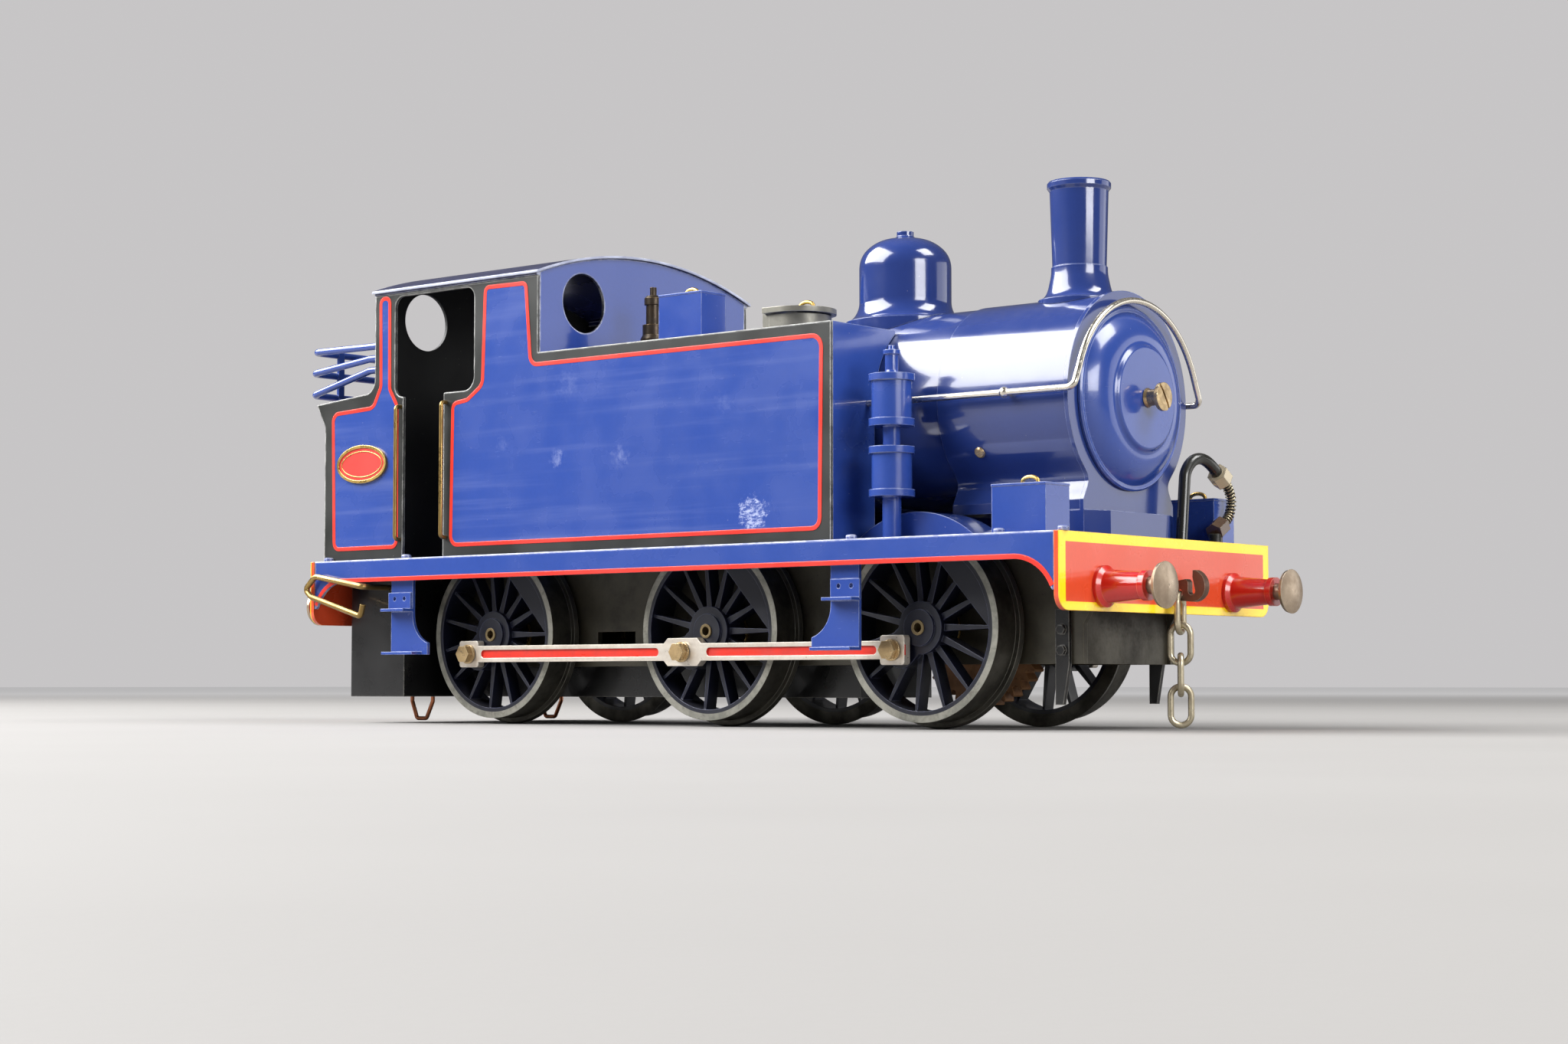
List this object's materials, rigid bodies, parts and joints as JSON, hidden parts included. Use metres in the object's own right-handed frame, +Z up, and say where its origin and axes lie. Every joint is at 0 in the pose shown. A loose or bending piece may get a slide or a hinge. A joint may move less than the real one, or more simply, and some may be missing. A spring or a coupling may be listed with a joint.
{
  "type": "model tank locomotive",
  "caption": "Side-tank steam locomotive model with coupled spoked wheels, sprung buffers, hinged smokebox door, filler lid, coupling chain and a gear-driven axle.",
  "frame": {"origin": "on the centre line, under the centre axle, at the level the wheel flanges stand on", "axes": "+X forwards (chimney end), +Y to the locomotive's left, +Z up"},
  "size_m": [0.2539, 0.0846, 0.117],
  "materials": {
    "blue_paint": "gloss",
    "black_paint": "satin",
    "red_paint": "gloss",
    "steel_weight": "matte",
    "bare_steel": "satin",
    "dark_steel": "worn",
    "nickel": "polished",
    "brass": "tarnished",
    "copper": "tarnished",
    "rubber": "matte",
    "fibre": "matte",
    "iron": "gloss"
  },
  "bodies": {
    "chassis": {"main_frames": "black_paint", "frame_stretchers": "black_paint", "guard_irons": "black_paint", "axle_bushes": "brass", "underframe_box": "steel_weight", "motor_case": "dark_steel", "pickup_wires": "copper", "footplate": "blue_paint", "buffer_beams": "red_paint", "buffer_stocks": "red_paint", "footsteps": "blue_paint", "side_sheet_left": "blue_paint", "side_sheet_right": "blue_paint", "tank_left": "blue_paint", "tank_right": "blue_paint", "cab_front": "blue_paint", "cab_rear": "blue_paint", "bunker": "blue_paint", "cab_roof": "blue_paint", "coal_rails": "blue_paint", "cab_handrails": "brass", "boiler_barrel": "blue_paint", "smokebox": "blue_paint", "chimney": "blue_paint", "dome": "blue_paint", "boiler_handrail": "nickel", "air_pump": "blue_paint", "sandboxes": "blue_paint", "splashers": "blue_paint", "toolbox": "blue_paint", "filler_neck": "black_paint", "safety_valve": "black_paint", "brake_pipe": "black_paint", "brake_hose": "rubber", "coupling_hooks": "dark_steel"},
    "wheelset_centre": {"axle_centre": "bare_steel", "wheels_centre": "iron", "crankpins_centre": "bare_steel"},
    "wheelset_rear": {"axle_rear": "bare_steel", "wheels_rear": "iron", "crankpins_rear": "bare_steel"},
    "wheelset_front": {"axle_front": "bare_steel", "wheels_front": "iron", "crankpins_front": "bare_steel", "axle_gear": "fibre"},
    "motor_rotor": {"motor_pinion": "bare_steel"},
    "rod_left": {"coupling_rod_left": "bare_steel"},
    "rod_right": {"coupling_rod_right": "bare_steel"},
    "buffer_front_left": {"buffer_head_front_left": "bare_steel"},
    "buffer_front_right": {"buffer_head_front_right": "bare_steel"},
    "buffer_rear_left": {"buffer_head_rear_left": "bare_steel"},
    "buffer_rear_right": {"buffer_head_rear_right": "bare_steel"},
    "door": {"smokebox_door": "blue_paint"},
    "knob": {"door_knob": "brass"},
    "lid": {"filler_lid": "black_paint"},
    "link_1": {"chain_link_1": "nickel"},
    "link_2": {"chain_link_2": "nickel"},
    "link_3": {"chain_link_3": "nickel"},
    "link_4": {"chain_link_4": "nickel"},
    "drop_link": {"rear_link": "brass"}
  },
  "joints": [
    {"name": "wheelset_centre_spin", "type": "hinge", "parent": "chassis", "child": "wheelset_centre", "pos_m": [0, 0, 0.0214], "axis": [0, 1, 0], "continuous": true},
    {"name": "wheelset_rear_spin", "type": "hinge", "parent": "chassis", "child": "wheelset_rear", "pos_m": [-0.069, 0, 0.0214], "axis": [0, 1, 0], "continuous": true},
    {"name": "wheelset_front_spin", "type": "hinge", "parent": "chassis", "child": "wheelset_front", "pos_m": [0.0594, 0, 0.0214], "axis": [0, 1, 0], "continuous": true},
    {"name": "motor_spin", "type": "hinge", "parent": "chassis", "child": "motor_rotor", "pos_m": [0.04188, 0, 0.03261], "axis": [0, 1, 0], "continuous": true},
    {"name": "rod_right_pivot", "type": "hinge", "parent": "wheelset_centre", "child": "rod_right", "pos_m": [-0.00509, -0.0285, 0.01674], "axis": [0, 1, 0], "continuous": true},
    {"name": "rod_left_pivot", "type": "hinge", "parent": "wheelset_centre", "child": "rod_left", "pos_m": [0.00466, 0.0285, 0.01631], "axis": [0, 1, 0], "continuous": true},
    {"name": "buffer_front_left_slide", "type": "slide", "parent": "chassis", "child": "buffer_front_left", "axis": [-1, 0, 0], "range_m": [0, 0.002], "stiffness_N_per_m": 400, "springref_m": -0.001},
    {"name": "buffer_front_right_slide", "type": "slide", "parent": "chassis", "child": "buffer_front_right", "axis": [-1, 0, 0], "range_m": [0, 0.002], "stiffness_N_per_m": 400, "springref_m": -0.001},
    {"name": "buffer_rear_left_slide", "type": "slide", "parent": "chassis", "child": "buffer_rear_left", "axis": [1, 0, 0], "range_m": [0, 0.002], "stiffness_N_per_m": 400, "springref_m": -0.001},
    {"name": "buffer_rear_right_slide", "type": "slide", "parent": "chassis", "child": "buffer_rear_right", "axis": [1, 0, 0], "range_m": [0, 0.002], "stiffness_N_per_m": 400, "springref_m": -0.001},
    {"name": "smokebox_door_hinge", "type": "hinge", "parent": "chassis", "child": "door", "pos_m": [0.0951, -0.0202, 0.06944], "axis": [0, 0, -1], "range_deg": [0, 90]},
    {"name": "door_knob_turn", "type": "hinge", "parent": "door", "child": "knob", "pos_m": [0.1, 0, 0.06944], "axis": [1, 0, 0], "range_deg": [0, 90]},
    {"name": "filler_lid_hinge", "type": "hinge", "parent": "chassis", "child": "lid", "pos_m": [0.0209, -0.026, 0.09105], "axis": [0, -1, 0], "range_deg": [0, 105]},
    {"name": "chain_1_swing", "type": "hinge", "parent": "chassis", "child": "link_1", "pos_m": [0.1068, 0, 0.02825], "axis": [0, -1, 0], "range_deg": [-2, 35]},
    {"name": "chain_2_swing", "type": "hinge", "parent": "link_1", "child": "link_2", "pos_m": [0.1068, 0, 0.02028], "axis": [-0.2419, 0.9703, 0], "range_deg": [-18, 18]},
    {"name": "chain_3_swing", "type": "hinge", "parent": "link_2", "child": "link_3", "pos_m": [0.1068, 0, 0.01388], "axis": [0.9397, 0.342, 0], "range_deg": [-18, 18]},
    {"name": "chain_4_swing", "type": "hinge", "parent": "link_3", "child": "link_4", "pos_m": [0.1068, 0, 0.00748], "axis": [-0.5299, 0.848, 0], "range_deg": [-18, 18]},
    {"name": "drop_link_hinge", "type": "hinge", "parent": "chassis", "child": "drop_link", "pos_m": [-0.0986, -0.032, 0.0332], "axis": [0, 1, 0], "range_deg": [-80, 5]}
  ],
  "couplings": [
    {"joint": "wheelset_rear_spin", "follows": "wheelset_centre_spin", "ratio": 1},
    {"joint": "wheelset_front_spin", "follows": "wheelset_centre_spin", "ratio": 1},
    {"joint": "motor_spin", "follows": "wheelset_centre_spin", "ratio": -3.3333},
    {"joint": "rod_left_pivot", "follows": "wheelset_centre_spin", "ratio": -1},
    {"joint": "rod_right_pivot", "follows": "wheelset_centre_spin", "ratio": -1}
  ]
}
